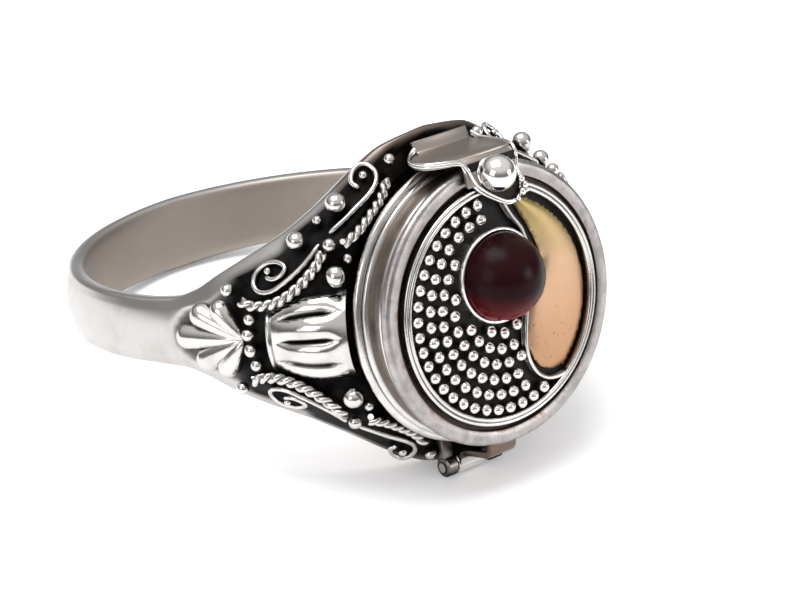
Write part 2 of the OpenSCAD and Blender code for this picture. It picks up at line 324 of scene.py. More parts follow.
class Value:
    """One socket of a node tree, with arithmetic."""

    def __init__(self, tree, socket):
        self.tree = tree
        self.socket = socket

    def math(self, operation, *others):
        node = self.tree.nodes.new("ShaderNodeMath")
        node.operation = operation
        for slot, value in zip(node.inputs, (self, *others)):
            feed(self.tree, slot, value)
        return Value(self.tree, node.outputs[0])

    __add__ = __radd__ = partialmethod(math, "ADD")
    __sub__ = partialmethod(math, "SUBTRACT")
    __mul__ = __rmul__ = partialmethod(math, "MULTIPLY")
    __truediv__ = partialmethod(math, "DIVIDE")
    top = partialmethod(math, "MAXIMUM")
    low = partialmethod(math, "MINIMUM")

    def __rsub__(self, number):
        return (self * -1) + number

    def step(self, start, end):
        """0 below start and 1 above end, smooth between."""
        node = self.tree.nodes.new("ShaderNodeMapRange")
        node.interpolation_type = "SMOOTHSTEP"
        self.tree.links.new(self.socket, node.inputs["Value"])
        node.inputs["From Min"].default_value = start
        node.inputs["From Max"].default_value = end
        return Value(self.tree, node.outputs[0])


def feed(tree, slot, value):
    """Links a value to a socket, or sets the socket to a number or a colour."""
    if isinstance(value, Value):
        tree.links.new(value.socket, slot)
    else:
        slot.default_value = value


class Finish:
    """The nodes of a material or of the room."""

    def __init__(self, owner, shader="Principled BSDF", place="Object"):
        owner.use_nodes = True
        self.tree = owner.node_tree
        self.shader = self.tree.nodes[shader]
        self.place = self.add("ShaderNodeTexCoord", out=place)
        self.material = owner

    def add(self, kind, settings=None, out=0, **sockets):
        """A node of this type. A socket is given by its name, or by its number after an underscore."""
        node = self.tree.nodes.new(kind)
        for key, value in (settings or {}).items():
            setattr(node, key, value)
        for key, value in sockets.items():
            slot = node.inputs[int(key[1:]) if key[0] == "_" else key.replace("_", " ")]
            feed(self.tree, slot, value)
        return Value(self.tree, node.outputs[out])

    def noise(self, per_mm, detail):
        """Noise with this many features per millimetre."""
        return self.add("ShaderNodeTexNoise", out="Fac", Vector=self.place, Scale=per_mm / MM,
                        Detail=detail, Roughness=0.55)

    def blend(self, mask, first, second):
        """A colour between two colours."""
        return self.add("ShaderNodeMix", {"data_type": "RGBA"}, out=2, _0=mask, _6=first, _7=second)

    def ramp(self, value, *stops):
        """A colour ramp with (place, colour) stops."""
        node = self.tree.nodes.new("ShaderNodeValToRGB")
        elements = node.color_ramp.elements
        while len(elements) < len(stops):
            elements.new(0.5)
        for element, (place, colour) in zip(elements, stops):
            element.position = place
            element.color = (*colour, 1)
        self.tree.links.new(value.socket, node.inputs[0])
        return Value(self.tree, node.outputs[0])

    def hollow(self, reach):
        """1 in the open and 0 deep in a corner, looking this many millimetres round."""
        return self.add("ShaderNodeAmbientOcclusion", {"samples": 6}, out="AO", Distance=reach * MM)

    def paint(self, name):
        """A value painted on the piece's own points."""
        return self.add("ShaderNodeAttribute", {"attribute_name": name}, out="Fac")

    def part(self, axis):
        """One axis of the place, in millimetres of the laid-down frame."""
        return self.add("ShaderNodeSeparateXYZ", out=axis, Vector=self.place) * (1 / MM)

    def along(self, row):
        """One axis of the ring's own frame, in millimetres: 0 and 1 lie in the lid, 2 is the height."""
        x, y, z = (self.part(i) * (STAND[row][i] * MM) for i in range(3))
        return x + y + z + STAND[row][3]

    def radius(self):
        """Distance from the lid's centre line."""
        x, y = self.along(0), self.along(1)
        return (x * x + y * y).math("SQRT")

    def set(self, **sockets):
        """Links or sets the shader's own sockets and gives the material back."""
        for key, value in sockets.items():
            feed(self.tree, self.shader.inputs[key.replace("_", " ")], value)
        return self.material

    def bump(self, height, depth):
        """A bump of this depth in millimetres."""
        return self.add("ShaderNodeBump", out="Normal", Height=height, Distance=depth * MM, Strength=1.0)


# %% [markdown]
# Old silver is bright where fingers rub it and black where they don't. The black is put where corners are
# deep, which ambient occlusion finds, and where a ground was blackened on purpose. Inside the finger hole
# the band is painted taupe, a painted reflection, and the ends of the plate are brown.

# %% Silver
BRIGHT = (0.64, 0.625, 0.61, 1)
WARM = (0.38, 0.32, 0.28, 1)
# a warm taupe, painted inside the finger hole as a reflection
REFLECTED_TAUPE = (0.33, 0.295, 0.265, 1)
BROWN = (0.15, 0.11, 0.085, 1)
BLACK = (0.004, 0.0035, 0.0035, 1)


def silver(name, rough, reach, deep=0.55, bright=BRIGHT, ground=None, shade_above=None):
    """Silver with black in its corners and on its painted ground, a painted reflection in the finger hole,
    and painted brown shade above the height given.
    """
    f = Finish(materials.new(name))
    cloud = f.noise(0.9, 5)
    fine = f.noise(9, 3)
    black = 1 - (f.hollow(reach) + (cloud - 0.5) * 0.25).step(deep - 0.25, deep + 0.15)
    if ground:
        black = black.top(f.paint(ground) * (0.972 + (cloud - 0.35).step(0, 0.3) * 0.028))
    wear_and_painted_light = f.blend((cloud - 0.42).step(0, 0.35) * 0.4, bright, WARM)
    if ground:
        x, y, z = (f.along(row) for row in range(3))
        # Inside the finger hole the band is painted taupe: a painted reflection.
        hole = 1 - (x * x + z * z).math("SQRT").step(FINGER_R + 0.03, FINGER_R + 0.2)
        plate = z.step(8.5, 9.3) * (y * y).step(20, 30)
        wear_and_painted_light = f.blend(plate * 0.85, f.blend(hole, wear_and_painted_light, REFLECTED_TAUPE), BROWN)
        rough = hole * 0.22 + rough
    # Above the given height the colour turns brown: painted shade.
    if shade_above:
        wear_and_painted_light = f.blend(f.along(2).step(shade_above, shade_above + 0.4), wear_and_painted_light, BROWN)
    return f.set(Base_Color=f.blend(black, wear_and_painted_light, BLACK), Metallic=1.0,
                 Roughness=rough + cloud * 0.10 + black * 0.3, Normal=f.bump(fine + cloud, 0.004))


polished = silver("polished_silver", bright=(0.86, 0.84, 0.82, 1), rough=0.07, reach=0.3, deep=0.35)
shank_silver = silver("shank_silver", bright=(0.52, 0.51, 0.50, 1), rough=0.26, reach=0.5, deep=0.6,
                      ground="ground")
raised = silver("raised_silver", rough=0.12, reach=0.35, deep=0.5)
ribbed = silver("ribbed_silver", rough=0.09, reach=0.3, deep=0.4, ground="ground")
granule_silver = silver("granule_silver", bright=(0.80, 0.78, 0.76, 1), rough=0.10, reach=0.25, deep=0.42)
ear_silver = silver("ear_silver", bright=(0.22, 0.20, 0.185, 1), rough=0.28, reach=0.8, deep=0.75)
tongue_silver = silver("tongue_silver", bright=(0.36, 0.32, 0.295, 1), rough=0.32, reach=0.5, deep=0.4)
bezel_silver = silver("bezel_silver", bright=(0.88, 0.86, 0.85, 1), rough=0.22, reach=0.08, deep=0.1)
# The hinge leaf is painted brown above 11 mm, where it lies under the flange: painted shade.
leaf_silver = silver("leaf_silver", bright=(0.80, 0.78, 0.76, 1), rough=0.2, reach=0.25, deep=0.4,
                     shade_above=11.0)
pin_silver = silver("pin_silver", bright=(0.45, 0.44, 0.43, 1), rough=0.3, reach=0.4)
print("silvers:", [material.name for material in materials if material.name.endswith("silver")])

# %% [markdown]
# Between its base wires and its rim the box wall is painted taupe, a painted reflection, and it is black
# at its foot. The lid's flange is grey and matte, with a red-brown groove beside the wire ring and brown
# stains near it. Heights and radii are measured in the ring's own frame.


# %% Stained silver and a painted reflection
def box_finish():
    """Silver of the box: bright wires and rim, and between them a wall painted taupe as a reflection."""
    f = Finish(materials.new("box_silver"))
    cloud = f.noise(1.2, 5)
    height = f.along(2)
    outside = f.radius().step(5.25, 5.4)
    # The wall between the base wires and the rim is painted brown-taupe: a painted reflection.
    wall_reflection = height.step(11.79, 11.86) * (1 - height.step(12.50, 12.58)) * outside
    foot = (1 - height.step(10.95, 11.12)) * outside
    black = foot.top(1 - (f.hollow(0.35) + (cloud - 0.5) * 0.2).step(0.3, 0.7))
    # the brown of the wall is a painted reflection
    wall = f.blend(cloud.step(0.3, 0.7), (0.15, 0.125, 0.105, 1), (0.22, 0.185, 0.16, 1))
    tone = f.blend(wall_reflection, f.blend((cloud - 0.45).step(0, 0.3) * 0.5, BRIGHT, WARM), wall)
    return f.set(Base_Color=f.blend(black, tone, BLACK), Metallic=1.0,
                 Roughness=0.36 - outside * 0.22 + cloud * 0.1 + wall_reflection * 0.22, Normal=f.bump(cloud, 0.006))


def flange_finish():
    """Matte grey silver with a stained groove."""
    f = Finish(materials.new("flange_silver"))
    cloud = f.noise(1.6, 5)
    pits = f.noise(8, 4)
    r = f.radius()
    groove = (1 - r.step(5.06, 5.16)) * f.along(2).step(12.92, 12.98)
    near = 1 - r.step(5.12, 5.5)
    stains_and_shade = (cloud - 0.50).step(0, 0.16) * near + (pits - 0.62).step(0, 0.08) * 0.5
    grey = f.blend(cloud.step(0.3, 0.7), (0.29, 0.27, 0.265, 1), (0.45, 0.425, 0.42, 1))
    stained = f.blend(stains_and_shade.low(1.0) * 0.75, grey, (0.20, 0.10, 0.06, 1))
    return f.set(Base_Color=f.blend(groove * 0.9, stained, (0.035, 0.014, 0.010, 1)), Metallic=1.0,
                 Roughness=0.27 + cloud * 0.14 + groove * 0.2, Normal=f.bump(pits + cloud, 0.012))


box_silver = box_finish()
flange_silver = flange_finish()


def black_ground():
    """The blackened floor of the picture field, a little blotchy."""
    f = Finish(materials.new("black_ground"))
    cloud = f.noise(2.5, 5)
    return f.set(Base_Color=f.ramp(cloud, (0.3, (0.003, 0.003, 0.003)), (0.8, (0.022, 0.018, 0.016))),
                 Metallic=0.6, Roughness=0.42 + cloud * 0.25, Normal=f.bump(cloud, 0.02))


field_black = black_ground()
print("stained:", box_silver.name, flange_silver.name, field_black.name)

# %% [markdown]
# The crescent is gold sheet, olive at the top and peach below, with a few brown specks near its foot and
# painted shade in its corners.
# Its colour runs along the lid's height, which is the laid-down frame's Z.


# %% Gold and garnet
def gold_sheet(low, high):
    """Polished gold whose colour changes from the foot to the top."""
    f = Finish(materials.new("gold_sheet"))
    rise = (f.part(2) - low) / (high - low)
    cloud = f.noise(0.7, 4)
    tone = f.ramp(rise + (cloud - 0.5) * 0.3, (0.0, (0.44, 0.25, 0.14)), (0.3, (0.52, 0.31, 0.19)),
                  (0.6, (0.54, 0.36, 0.23)), (0.82, (0.40, 0.30, 0.14)), (1.0, (0.24, 0.19, 0.07)))
    speck = (f.noise(7, 2) - 0.66).step(0, 0.05) * (1 - rise).step(0.45, 0.9)
    # Painted shade: the gold turns dark brown in its corners, where ambient occlusion finds them.
    stains_and_shade = 1 - f.hollow(0.35).step(0.3, 0.75)
    return f.set(Base_Color=f.blend(speck.top(stains_and_shade * 0.8), tone, (0.14, 0.07, 0.03, 1)), Metallic=1.0,
                 Roughness=0.30 + cloud * 0.15 + speck * 0.2, Normal=f.bump(cloud, 0.02))


def garnet_stone(low, high):
    """A dark red stone: nearly black at the top, red where light gathers at its foot."""
    f = Finish(materials.new("garnet_stone"))
    rise = (f.part(2) - low) / (high - low)
    cloud = f.noise(0.8, 4)
    tone = f.ramp(rise + (cloud - 0.5) * 0.25, (0.0, (0.17, 0.006, 0.010)), (0.28, (0.075, 0.003, 0.005)),
                  (0.5, (0.013, 0.002, 0.003)), (1.0, (0.018, 0.003, 0.004)))
    return f.set(Base_Color=tone, Metallic=0.0, Roughness=0.22 + cloud * 0.10, IOR=1.6,
                 Specular_IOR_Level=0.06)


spans = {node: [corner[2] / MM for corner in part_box(node)] for node in ("gold_crescent", "garnet")}
gold = gold_sheet(*spans["gold_crescent"])
garnet_red = garnet_stone(*spans["garnet"])
print("gold and garnet spans in mm:", spans)

# %% [markdown]
# ## The band, the shoulders and the plate
# One closed loop of sections. Its points are worked out from a table, because no operator changes a
# section's width and height along its way. Columns: angle from the lid, half width of the plate, radius
# of its edge, half width of the face between the ropes, radius of the ridge there, radius of the middle.

# %% The shank's table
SHANK = ((0, 6.97, 9.95, 6.50, 10.05, 10.05), (8, 6.80, 9.95, 6.15, 10.20, 10.25),
         (13, 6.62, 9.95, 5.75, 10.45, 10.50), (20, 5.95, 9.95, 4.70, 11.20, 11.25),
         (26.5, 5.15, 9.95, 3.60, 11.80, 12.05), (30, 4.72, 9.95, 3.15, 11.85, 12.00),
         (38, 3.85, 9.95, 2.20, 11.60, 11.65), (47.5, 3.05, 9.95, 1.60, 10.95, 11.05),
         (55, 2.40, 9.92, 1.45, 10.45, 10.60), (60, 1.88, 9.85, 1.25, 10.20, 10.35),
         (66, 1.50, 9.76, 1.00, 9.98, 10.14), (75, 1.40, 9.74, 0.95, 9.95, 10.10),
         (105, 1.40, 9.72, 1.00, 9.94, 10.10), (180, 1.625, 9.68, 1.05, 9.93, 10.10))
EDGE_HALF, EDGE_R, RIDGE_HALF, RIDGE_R, MID_R = 1, 2, 3, 4, 5
# degrees over which its corners are rounded
BLUR = 1.6


def straight(angle, column):
    """The table's value at an angle, straight between its rows."""
    angle = min(abs(angle), 180)
    for a, b in zip(SHANK, SHANK[1:]):
        if angle <= b[0]:
            return a[column] + (b[column] - a[column]) * (angle - a[0]) / (b[0] - a[0])
    return SHANK[-1][column]


def shank_at(angle, column):
    """The table's value, rounded over its corners: a mean of five places round the angle."""
    return sum(straight(angle + d * BLUR, column) for d in (-1, -0.5, 0, 0.5, 1)) / 5


def skin_r(angle, y):
    """Radius of the shoulder's skin at an angle and a height along the finger."""
    half, ridge, mid = (shank_at(angle, c) for c in (RIDGE_HALF, RIDGE_R, MID_R))
    if abs(y) < half:
        return mid + (ridge - mid) * (y / half) ** 2
    edge_half = shank_at(angle, EDGE_HALF)
    return ridge + (shank_at(angle, EDGE_R) - ridge) * (abs(y) - half) / (edge_half - half)


def polar(r, angle, y):
    """The place at this radius, angle from the lid and height along the finger."""
    a = math.radians(angle)
    return Vector((-r * math.sin(a), y, r * math.cos(a)))


def above(angle, y, lift):
    """A place this far above the skin, along its normal, which a small patch of the skin gives."""
    da, dy = 0.8, 0.2
    along = polar(skin_r(angle - da, y), angle - da, y) - polar(skin_r(angle + da, y), angle + da, y)
    across = polar(skin_r(angle, y + dy), angle, y + dy) - polar(skin_r(angle, y - dy), angle, y - dy)
    return polar(skin_r(angle, y), angle, y) + along.cross(across).normalized() * lift


print("the skin at 35 degrees is", round(skin_r(35, 0), 2), "mm from the finger's axis")

# %% [markdown]
# The fan shells lie in shallow pockets at the ends of the band, and the ground between the raised
# work is blackened. Both follow the same map of the shoulder.

# %% Pockets and blackened ground
SHELL_ANGLE = 48.8
SHELL_REACH = 3.42
POCKET_DEPTH = 0.16
SHOULDER_R = 10.5


def ease(value, start, end):
    """0 to 1 between start and end, smooth."""
    t = max(0, min(1, (value - start) / (end - start)))
    return t * t * (3 - 2 * t)


def in_pocket(angle, y):
    """How far a place lies inside the fan-shaped pocket, from 0 to 1."""
    along = math.radians(abs(angle) - SHELL_ANGLE) * SHOULDER_R
    away = math.hypot(along, y)
    turn = math.degrees(math.atan2(abs(y), along))
    reach = SHELL_REACH * (1 - 0.40 * ease(turn, 0, 50))
    return (1 - ease(away, reach - 0.2, reach)) * (1 - ease(turn, 72, 88))


def blackened(angle, y):
    """How black the ground is at a place on the shoulder."""
    a, y = abs(angle), abs(y)
    edge, half = shank_at(a, EDGE_HALF), shank_at(a, RIDGE_HALF)
    margin = 0.26 + 0.29 * ease(a, 34, 42)
    face = ease(a, 11, 14) * (1 - ease(a, 51, 53)) * (1 - ease(y, edge - margin, edge - margin + 0.15))
    rim = (1 - ease(a, 12, 16)) * ease(y, edge - 0.75, edge - 0.6) * (1 - ease(y, edge - 0.3, edge - 0.2))
    plate = (1 - ease(a, 11, 16)) * 0.72 * (1 - ease(y, edge - 0.22, edge - 0.08))
    return max(face, rim, plate, 0.8 * in_pocket(angle, y))


# %% [markdown]
# The sections are close on the shoulders, where the form changes fast, and wide apart round the back.
# The sides lean in a little towards the finger hole.

# %% Sections of the band, the shoulders and the plate
FACE_ROWS = 12
LEAN = 0.963
CORNER = 0.12
fine_angles = [a * 1.25 for a in range(-60, 61)]
coarse_angles = [a if a <= 180 else a - 360 for a in range(78, 285, 3)]


def section(angle):
    """One section of the shank as (radius, height along the finger) points."""
    e, h = shank_at(angle, EDGE_HALF), shank_at(angle, RIDGE_HALF)
    er = shank_at(angle, EDGE_R)
    foot = LEAN * e
    side = [(FINGER_R, foot - CORNER), (FINGER_R + CORNER, foot), (er - CORNER, e - 0.01),
            (er, e - CORNER / 2)]
    slope = [(skin_r(angle, e - (e - h) * k / 5), e - (e - h) * k / 5) for k in (1, 2, 3, 4, 4.8)]
    face = [(skin_r(angle, y), y) for y in (h * (1 - 2 * k / FACE_ROWS) for k in range(1, FACE_ROWS))]
    lower = [(r, -y) for r, y in reversed(side + slope)]
    inside = [(FINGER_R, (CORNER - foot) * (1 - k / 2)) for k in (1, 2, 3)]
    return side + slope + face + lower + inside


rows = [(angle, section(angle)) for angle in fine_angles + coarse_angles]
print(len(rows), "sections of", len(rows[0][1]), "points")

# %% [markdown]
# The sections are joined into the loop, with the shells' pockets sunk into them and the blackened ground
# painted on the same points. Subdivision then rounds the edges of the band.

# %% Band, shoulders and plate
rings = []
ground = []
for a, row in rows:
    dips = [POCKET_DEPTH * in_pocket(a, y) if r > FINGER_R + 0.5 else 0 for r, y in row]
    rings.append([polar(r - dip, a, y) for (r, y), dip in zip(row, dips)])
    ground += [blackened(a, y) if r > shank_at(a, EDGE_R) - 0.02 else 0 for r, y in row]
shank = skinned("band_and_shoulders", rings, ground, loop=True)
apply(shank, "SUBSURF", levels=1, render_levels=1)
finish(shank, shank_silver, *RING)

# %% [markdown]
# ## The round box
# The wall, its rim and the two base wires are one outline turned on the lathe, with the hollow inside
# that the lid hides.

# %% The box
BOX_R = 5.5
RIM_Z = 12.72
FLOOR_Z = 10.25
WALL = 0.5
box_outline = ([(NEAR_AXIS, FLOOR_Z), (BOX_R - WALL - 0.15, FLOOR_Z), (BOX_R - WALL, FLOOR_Z + 0.15),
                (BOX_R - WALL, RIM_Z - 0.06), (BOX_R - WALL + 0.06, RIM_Z), (BOX_R - 0.06, RIM_Z),
                (BOX_R, RIM_Z - 0.06), (BOX_R, 12.2), (BOX_R - 0.03, 11.84)]
               + arc(5.53, 11.69, 0.11, 80, -80) + arc(5.66, 11.36, 0.19, 85, -85)
               + [(5.60, 11.1), (5.55, 10.6), (5.62, 10.0), (5.62, 9.4), (NEAR_AXIS, 9.4)])
finish(turned("box_wall", box_outline, steps=128), box_silver, *RING, smooth=50)

# %% [markdown]
# ## Raised work on the shoulders
# The fan shell is five drops that meet at its foot. Each starts as a ball, is stretched by moving one half
# of it, and is laid flat on the shoulder.


# %% Fan shell
def drop(length, r):
    """A long drop along x, thick at one end."""
    piece = sphere(r, 20, 16)
    for v in piece.data.vertices:
        if v.co.x < 0:
            t = -v.co.x / r
            v.co.x = -(length - r) * t ** 1.15
            v.co.yz = [c * (1 - 0.2 * t) for c in (v.co.y, v.co.z)]
    return piece


# columns: turn of the drop, its length, its radius
SHELL_DROPS = ((0, 3.3, 0.54), (25, 2.65, 0.51), (-25, 2.65, 0.51), (50, 1.95, 0.46), (-50, 1.95, 0.46))
SHELL_SLOPE = 73
apex = above(SHELL_ANGLE, 0, -0.02)
lay_shell = Matrix.Translation(apex) @ Matrix.Rotation(math.radians(-SHELL_SLOPE), 4, "Y")
drops = []
for turn, length, r in SHELL_DROPS:
    piece = drop(length, r)
    place = Matrix.Rotation(math.radians(turn), 4, "Z") @ Matrix.Translation((-(length - r), 0, -0.02))
    piece.data.transform(lay_shell @ place @ MIRROR)
    turn_over(piece)
    drops.append(piece)
for piece in left_and_right("fan_shell", drops):
    finish(piece, raised, *RING, smooth=60)

# %% [markdown]
# The half barrel in the middle of a shoulder has ribs along it, is widest near the box, and has a double
# rim at the end towards the band. Its rings follow one formula: a bulge along it and a sine for the
# grooves, which are lens-shaped and painted black.

# %% Ribbed barrel
BARREL_FROM, BARREL_TO = -1.55, 1.65
WIDEST_R = 2.10
WIDEST_AT = 0.55
BULGE = 0.165
GROOVE = 0.30
GROOVE_TURN = math.radians(4)
RIB_ANGLE = 2 * math.pi / 11
RIBS = 6
RIB_STEPS = 14
BARREL_RINGS = 27
BARREL_ANGLE = 35
BARREL_SLOPE = 47
BARREL_LIFT = -1.0


def barrel_r(w):
    """Radius of the barrel at this place along it."""
    return WIDEST_R - BULGE * (w - WIDEST_AT) ** 2


rings = []
ground = []
for i in range(BARREL_RINGS):
    w = BARREL_FROM + (BARREL_TO - BARREL_FROM) * i / (BARREL_RINGS - 1)
    fade = ease(min(w - BARREL_FROM, BARREL_TO - w), 0.12, 0.95)
    rings.append([])
    for k in range(RIBS * RIB_STEPS + 1):
        a = RIB_ANGLE * (k / RIB_STEPS - RIBS / 2) + GROOVE_TURN
        dent = (1 - abs(math.sin(math.pi * k / RIB_STEPS)) ** 0.55) * fade
        r = barrel_r(w) - GROOVE * dent
        rings[-1].append((-r * math.cos(a), r * math.sin(a), w))
        ground.append(ease(dent, 0.35, 0.6))
barrel = skinned("ribbed_barrel", rings, ground)
rims = []
for r, at, thick in ((barrel_r(BARREL_FROM) + 0.02, BARREL_FROM - 0.02, 0.10),
                     (barrel_r(BARREL_FROM) - 0.20, BARREL_FROM - 0.10, 0.08)):
    rims.append(wire("barrel_rim", [Vector((-x, y, at)) for x, y in arc(0, 0, r, -100, 100, 24)], thick))
lay_barrel = (Matrix.Translation(above(BARREL_ANGLE, 0, BARREL_LIFT))
              @ Matrix.Rotation(math.radians(90 - BARREL_SLOPE), 4, "Y"))
for piece in [barrel] + rims:
    piece.data.transform(lay_barrel)
for piece in left_and_right("ribbed_barrel", [barrel] + rims):
    finish(piece, ribbed, *RING, smooth=60)

# %% [markdown]
# The ropes are two strands twisted round each other. Each strand is a fine wire that winds round the
# rope's line, so the twist is real metal and catches the light.

# %% Twisted ropes
ROPE_R = 0.23
ROPE_LIFT = 0.27
TWIST_PITCH = 0.85
STRAND_R = ROPE_R * 0.55
STRAND_OUT = ROPE_R * 0.47
ROPES = (((47.3, 1.57), (45, 1.46), (42.5, 1.47), (40, 1.60), (37.5, 1.87), (34.5, 2.33), (31.5, 2.88),
          (29.9, 3.22)),
         ((26.4, 3.52), (23.5, 3.90), (20, 4.42), (17, 4.92), (14.8, 5.40)))


def rope(line):
    """Two strands wound round a line."""
    strands = []
    for half_turn in (0, math.pi):
        length = 0
        path = []
        for i, p in enumerate(line):
            if i:
                length += (p - line[i - 1]).length
            along = (line[min(i + 1, len(line) - 1)] - line[max(i - 1, 0)]).normalized()
            out = Vector((p.x, 0, p.z)).normalized()
            side = along.cross(out).normalized()
            up = side.cross(along)
            turn = 2 * math.pi * length / TWIST_PITCH + half_turn
            path.append(p + (side * math.cos(turn) + up * math.sin(turn)) * STRAND_OUT)
        strands.append(wire("strand", path, STRAND_R))
    return strands


strands = []
for side in (-1, 1):
    for path in ROPES:
        centre = smooth_line([above(a, side * y, ROPE_LIFT) for a, y in path], 14)
        strands += rope(centre)
finish(on_both_sides("twisted_ropes", strands), raised, "ring", "silver_trim", ["rope_wires"])

# %% [markdown]
# The scrolls are thin round wires that end in a curl. They lie just outside the ropes.

# %% Scrolls
SCROLL_R = 0.105
SCROLL_LIFT = 0.15
SCROLLS = (((30.3, 3.50), (32.7, 3.04), (35.1, 2.66), (38.1, 2.26), (40.9, 1.98), (43.2, 1.93),
            (44.5, 2.13), (44.0, 2.50), (42.0, 2.80), (39.4, 2.90), (37.6, 2.76), (38.4, 2.50),
            (40.2, 2.34), (41.8, 2.40)),
           ((27.9, 3.86), (24.9, 4.23), (22.0, 4.60), (18.8, 5.00), (16.6, 5.35), (15.8, 5.70),
            (16.7, 5.98), (18.4, 6.00), (20.2, 5.75), (20.9, 5.45), (20.0, 5.25)))
curls = []
for side in (-1, 1):
    for path in SCROLLS:
        line = smooth_line([above(a, side * y, SCROLL_LIFT) for a, y in path], 6)
        curls.append(wire("scroll", line, SCROLL_R, thin_ends=True))
finish(on_both_sides("scroll_wires_fine", curls), raised, "ring", "silver_trim", ["scroll_wires"])

# %% [markdown]
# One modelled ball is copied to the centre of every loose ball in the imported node. Each copy is a little
# out of round in its own way, as hand-made balls are.


# %% Balls of a node
WOBBLE = 0.05
GOLDEN_ANGLE = 2.4


def loose_balls(node):
    """Centre and radius of each loose ball of a node, in the ring's own frame."""
    work_on(frame["nodes"][node])
    bpy.ops.object.duplicate()
    copy = bpy.context.object
    copy.data.transform(STAND)
    edit(copy)
    bpy.ops.mesh.remove_doubles(threshold=10 * SAME_PLACE)
    bpy.ops.mesh.separate(type="LOOSE")
    done()
    balls = []
    for part in list(bpy.context.selected_objects):
        low, high = (Vector([end(v.co[i] for v in part.data.vertices) for i in range(3)])
                     for end in (min, max))
        balls.append(((low + high) / 2, max(high - low) / 2))
        bpy.data.objects.remove(part)
    return sorted(balls, key=lambda b: tuple(round(c, 3) for c in b[0]))


def ball_copies(name, node, segments, rings):
    """A modelled ball at each loose ball of a node."""
    pattern = sphere(1, segments, rings)
    copies = []
    for i, (centre, r) in enumerate(loose_balls(node)):
        piece = add_object(name, pattern.data.copy())
        wobble = 1 + WOBBLE * math.sin(i * GOLDEN_ANGLE)
        size = Matrix.Diagonal((r * wobble, r / wobble, r, 1))
        piece.data.transform(Matrix.Translation(centre) @ size)
        copies.append(piece)
    bpy.data.objects.remove(pattern)
    return join(name, copies)


finish(ball_copies("shoulder_balls", "shoulder_beads", 24, 14), raised, "ring", "silver_trim",
       ["shoulder_beads"], smooth=80)

# %% [markdown]
# ## The hinge
# Two outer knuckles are soldered to the box and the middle one to the lid. A sheet is rolled round the
# pin, so each knuckle is a short tube with a strap that runs to the box.

# %% Outer knuckles
HINGE_Y = -6.78
HINGE_Z = 10.6
KNUCKLE_R = 0.42
PIN_HOLE = 0.23
EAR_SPANS = ((-1.95, -1.42), (0.30, 0.95))


def knuckle(name, start, end):
    """A tube along x round the hinge line, with rounded ends."""
    half = (end - start) / 2
    chamfer = 0.06
    tube = turned(name, [(PIN_HOLE, -half), (KNUCKLE_R - chamfer, -half), (KNUCKLE_R, -half + chamfer),
                         (KNUCKLE_R, half - chamfer), (KNUCKLE_R - chamfer, half), (PIN_HOLE, half)],
                  closed=True, steps=40)
    tube.data.transform(Matrix.Translation(((start + end) / 2, HINGE_Y, HINGE_Z))
                        @ Matrix.Rotation(math.pi / 2, 4, "Y"))
    return tube


def strap(name, line, x_from, x_to, thick, bevel=0.05):
    """A strip of sheet, bent along a line of (y, z) points."""
    piece = from_points(name, [(x_from, y, z) for y, z in line], [(i, i + 1) for i in range(len(line) - 1)])
    edit(piece)
    bpy.ops.mesh.extrude_edges_move(TRANSFORM_OT_translate={"value": (x_to - x_from, 0, 0)})
    done()
    apply(piece, "SOLIDIFY", thickness=thick, offset=0)
    apply(piece, "BEVEL", width=bevel, segments=2, limit_method="ANGLE")
    return piece


ears = []
for start, end in EAR_SPANS:
    ears.append(knuckle("ear", start, end))
    ears.append(strap("ear_strap", [(HINGE_Y + 0.2, HINGE_Z - 0.1), (-6.2, 10.5), (-5.4, 10.45)],
                      start + 0.02, end - 0.02, 0.5))
finish(join("hinge_ears", ears), ear_silver, *RING)
frame["nodes"]["hinge_pin"].data.materials.clear()
frame["nodes"]["hinge_pin"].data.materials.append(pin_silver)

# %% [markdown]
# ## The lid
# A rounded flange runs round the lid. Inside it lie a groove and then the wire ring, and the picture
# field inside the ring lies lower.

# %% Flange and wire ring
LID_R = 5.72
LID_UNDER = 12.80
LID_TOP = 13.25
FIELD_Z = 13.0
RING_R = 4.9
RING_W = 0.34
RING_TOP = 13.41
flange = turned("lid_flange", [(RING_R - 0.25, LID_UNDER), (LID_R - 0.2, LID_UNDER)]
                + arc(LID_R - 0.19, LID_UNDER + 0.2, 0.19, -70, 0, 5)
                + arc(LID_R - 0.22, LID_TOP - 0.22, 0.22, 0, 90, 8)
                + [(RING_R + 0.30, LID_TOP), (RING_R + 0.22, LID_TOP - 0.04), (RING_R + 0.18, 13.02),
                   (RING_R - 0.25, 13.02)], closed=True, steps=128)
finish(flange, flange_silver, *LID, smooth=50)
half = RING_W / 4
ring_outline = ([(RING_R - RING_W, FIELD_Z - 0.03)]
                + arc(RING_R - RING_W + half, RING_TOP - half, half, 180, 20, 8)
                + arc(RING_R - half, RING_TOP - half - 0.03, half, 160, 0, 8)
                + [(RING_R, FIELD_Z - 0.03)])
finish(turned("wire_ring", ring_outline, closed=True, steps=128), raised, *LID, smooth=60)

# %% [markdown]
# The floor of the field is a blackened disc, and the underside of the lid is plain sheet.

# %% Field floor and underside
# columns: name, radius, the heights of both faces, finish
DISCS = (("field_floor", RING_R - 0.2, FIELD_Z, FIELD_Z - 0.08, field_black),
         ("lid_underside", RING_R, LID_UNDER + 0.02, FIELD_Z - 0.09, box_silver))
for name, r, first, last, material in DISCS:
    disc = turned(name, [(NEAR_AXIS, first), (r, first), (r, last), (NEAR_AXIS, last)])
    finish(disc, material, *LID, smooth=30)

# %% [markdown]
# The dividing wire comes down from the tongue to the stone, and from the stone round the foot of the
# crescent. It stands on edge, so it is a flat strip with a rounded top: three wires over each other.

